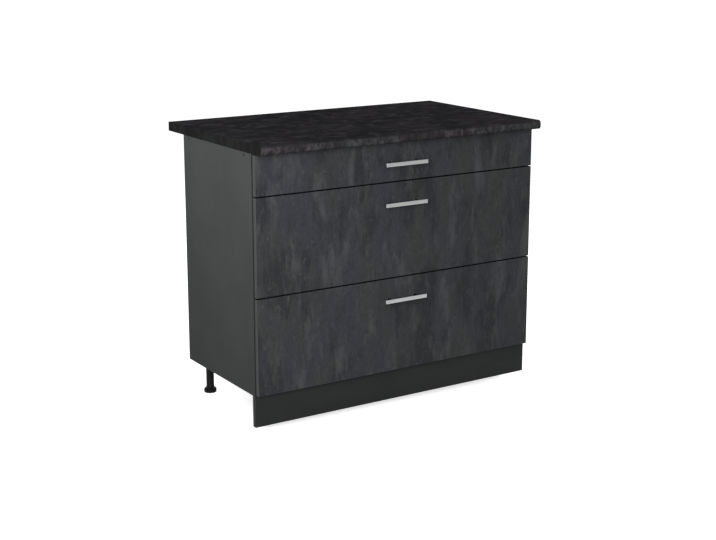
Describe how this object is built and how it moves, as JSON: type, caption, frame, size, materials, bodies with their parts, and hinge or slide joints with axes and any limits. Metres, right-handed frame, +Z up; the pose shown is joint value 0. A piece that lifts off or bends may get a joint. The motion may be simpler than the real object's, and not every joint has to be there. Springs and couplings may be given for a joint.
{
  "type": "base cabinet with drawers",
  "caption": "Kitchen base cabinet with a dark worktop, one low drawer above two high pull-outs on roller runners, bar handles, plinth and levelling legs.",
  "frame": {"origin": "on the floor under the middle of the worktop", "axes": "+X along the width to the right seen from the front, +Y from the front to the rear, +Z up"},
  "size_m": [1, 0.6, 0.84],
  "materials": {
    "carcass_board": "melamine-faced chipboard, graphite grey, fine matt grain",
    "plinth_board": "melamine-faced chipboard, dark graphite, matt",
    "front_board": "laminated chipboard, dark oxidised-slate decor, matt",
    "worktop_laminate": "post-formed laminate on chipboard, dark mottled stone decor",
    "hardboard": "thin hardboard, light grey lacquered face",
    "drawer_steel": "roll-formed steel, grey epoxy powder coat",
    "drawer_board": "melamine-faced chipboard, light grey",
    "handle_metal": "satin brushed",
    "black_plastic": "moulded, fine texture",
    "cap_plastic": "moulded, graphite",
    "clear_plastic": "translucent elastomer dots",
    "nylon": "moulded nylon, off-white",
    "zinc_steel": "zinc plated",
    "dowel_wood": "fluted beech"
  },
  "bodies": {
    "carcass": {"back_panel": "hardboard", "bottom_panel": "carcass_board", "bumper_pads": "clear_plastic", "carcass_screws": "zinc_steel", "front_rail": "carcass_board", "leg_sockets": "black_plastic", "leg_tubes": "black_plastic", "plinth": "plinth_board", "plinth_clips": "black_plastic", "rear_rail": "carcass_board", "runner_bottom_left": "drawer_steel", "runner_bottom_right": "drawer_steel", "runner_middle_left": "drawer_steel", "runner_middle_right": "drawer_steel", "runner_screws": "zinc_steel", "runner_top_left": "drawer_steel", "runner_top_right": "drawer_steel", "screw_cover_caps": "cap_plastic", "side_panel_left": "carcass_board", "side_panel_right": "carcass_board", "wood_dowels": "dowel_wood", "worktop": "worktop_laminate", "worktop_screws": "zinc_steel"},
    "drawer_top": {"top_drawer_back": "drawer_board", "top_drawer_bottom": "drawer_board", "top_drawer_brackets": "zinc_steel", "top_drawer_front": "front_board", "top_drawer_handle": "handle_metal", "top_drawer_screws": "zinc_steel", "top_drawer_side_left": "drawer_steel", "top_drawer_side_right": "drawer_steel"},
    "drawer_middle": {"middle_drawer_back": "drawer_board", "middle_drawer_bottom": "drawer_board", "middle_drawer_brackets": "zinc_steel", "middle_drawer_front": "front_board", "middle_drawer_handle": "handle_metal", "middle_drawer_screws": "zinc_steel", "middle_drawer_side_left": "drawer_steel", "middle_drawer_side_right": "drawer_steel", "middle_gallery_rails": "drawer_steel"},
    "drawer_bottom": {"bottom_drawer_back": "drawer_board", "bottom_drawer_bottom": "drawer_board", "bottom_drawer_brackets": "zinc_steel", "bottom_drawer_front": "front_board", "bottom_drawer_handle": "handle_metal", "bottom_drawer_screws": "zinc_steel", "bottom_drawer_side_left": "drawer_steel", "bottom_drawer_side_right": "drawer_steel", "bottom_gallery_rails": "drawer_steel"},
    "drawer_rollers_bottom": {"drawer_rollers_bottom": "nylon"},
    "drawer_rollers_middle": {"drawer_rollers_middle": "nylon"},
    "drawer_rollers_top": {"drawer_rollers_top": "nylon"},
    "foot_front_left": {"foot_front_left": "black_plastic"},
    "foot_front_right": {"foot_front_right": "black_plastic"},
    "foot_rear_left": {"foot_rear_left": "black_plastic"},
    "foot_rear_right": {"foot_rear_right": "black_plastic"},
    "runner_rollers_bottom": {"runner_rollers_bottom": "nylon"},
    "runner_rollers_middle": {"runner_rollers_middle": "nylon"},
    "runner_rollers_top": {"runner_rollers_top": "nylon"}
  },
  "joints": [
    {"name": "top_drawer_slide", "type": "slide", "parent": "carcass", "child": "drawer_top", "axis": [0, -1, 0], "range_m": [0, 0.31]},
    {"name": "runner_rollers_top_turn", "type": "hinge", "parent": "carcass", "child": "runner_rollers_top", "pos_m": [0, -0.224, 0.7147], "axis": [1, 0, 0], "range_deg": [0, 2170]},
    {"name": "drawer_rollers_top_turn", "type": "hinge", "parent": "drawer_top", "child": "drawer_rollers_top", "pos_m": [0, 0.141, 0.7127], "axis": [1, 0, 0], "range_deg": [0, 2170]},
    {"name": "middle_drawer_slide", "type": "slide", "parent": "carcass", "child": "drawer_middle", "axis": [0, -1, 0], "range_m": [0, 0.31]},
    {"name": "runner_rollers_middle_turn", "type": "hinge", "parent": "carcass", "child": "runner_rollers_middle", "pos_m": [0, -0.224, 0.4272], "axis": [1, 0, 0], "range_deg": [0, 2170]},
    {"name": "drawer_rollers_middle_turn", "type": "hinge", "parent": "drawer_middle", "child": "drawer_rollers_middle", "pos_m": [0, 0.141, 0.4252], "axis": [1, 0, 0], "range_deg": [0, 2170]},
    {"name": "bottom_drawer_slide", "type": "slide", "parent": "carcass", "child": "drawer_bottom", "axis": [0, -1, 0], "range_m": [0, 0.31]},
    {"name": "runner_rollers_bottom_turn", "type": "hinge", "parent": "carcass", "child": "runner_rollers_bottom", "pos_m": [0, -0.224, 0.1317], "axis": [1, 0, 0], "range_deg": [0, 2170]},
    {"name": "drawer_rollers_bottom_turn", "type": "hinge", "parent": "drawer_bottom", "child": "drawer_rollers_bottom", "pos_m": [0, 0.141, 0.1297], "axis": [1, 0, 0], "range_deg": [0, 2170]},
    {"name": "foot_front_left_height", "type": "slide", "parent": "carcass", "child": "foot_front_left", "axis": [0, 0, -1], "range_m": [0, 0.02]},
    {"name": "foot_front_right_height", "type": "slide", "parent": "carcass", "child": "foot_front_right", "axis": [0, 0, -1], "range_m": [0, 0.02]},
    {"name": "foot_rear_left_height", "type": "slide", "parent": "carcass", "child": "foot_rear_left", "axis": [0, 0, -1], "range_m": [0, 0.02]},
    {"name": "foot_rear_right_height", "type": "slide", "parent": "carcass", "child": "foot_rear_right", "axis": [0, 0, -1], "range_m": [0, 0.02]}
  ],
  "couplings": [
    {"joint": "runner_rollers_top_turn", "follows": "top_drawer_slide", "rad_per_m": 121.95},
    {"joint": "drawer_rollers_top_turn", "follows": "top_drawer_slide", "rad_per_m": 121.95},
    {"joint": "runner_rollers_middle_turn", "follows": "middle_drawer_slide", "rad_per_m": 121.95},
    {"joint": "drawer_rollers_middle_turn", "follows": "middle_drawer_slide", "rad_per_m": 121.95},
    {"joint": "runner_rollers_bottom_turn", "follows": "bottom_drawer_slide", "rad_per_m": 121.95},
    {"joint": "drawer_rollers_bottom_turn", "follows": "bottom_drawer_slide", "rad_per_m": 121.95}
  ]
}
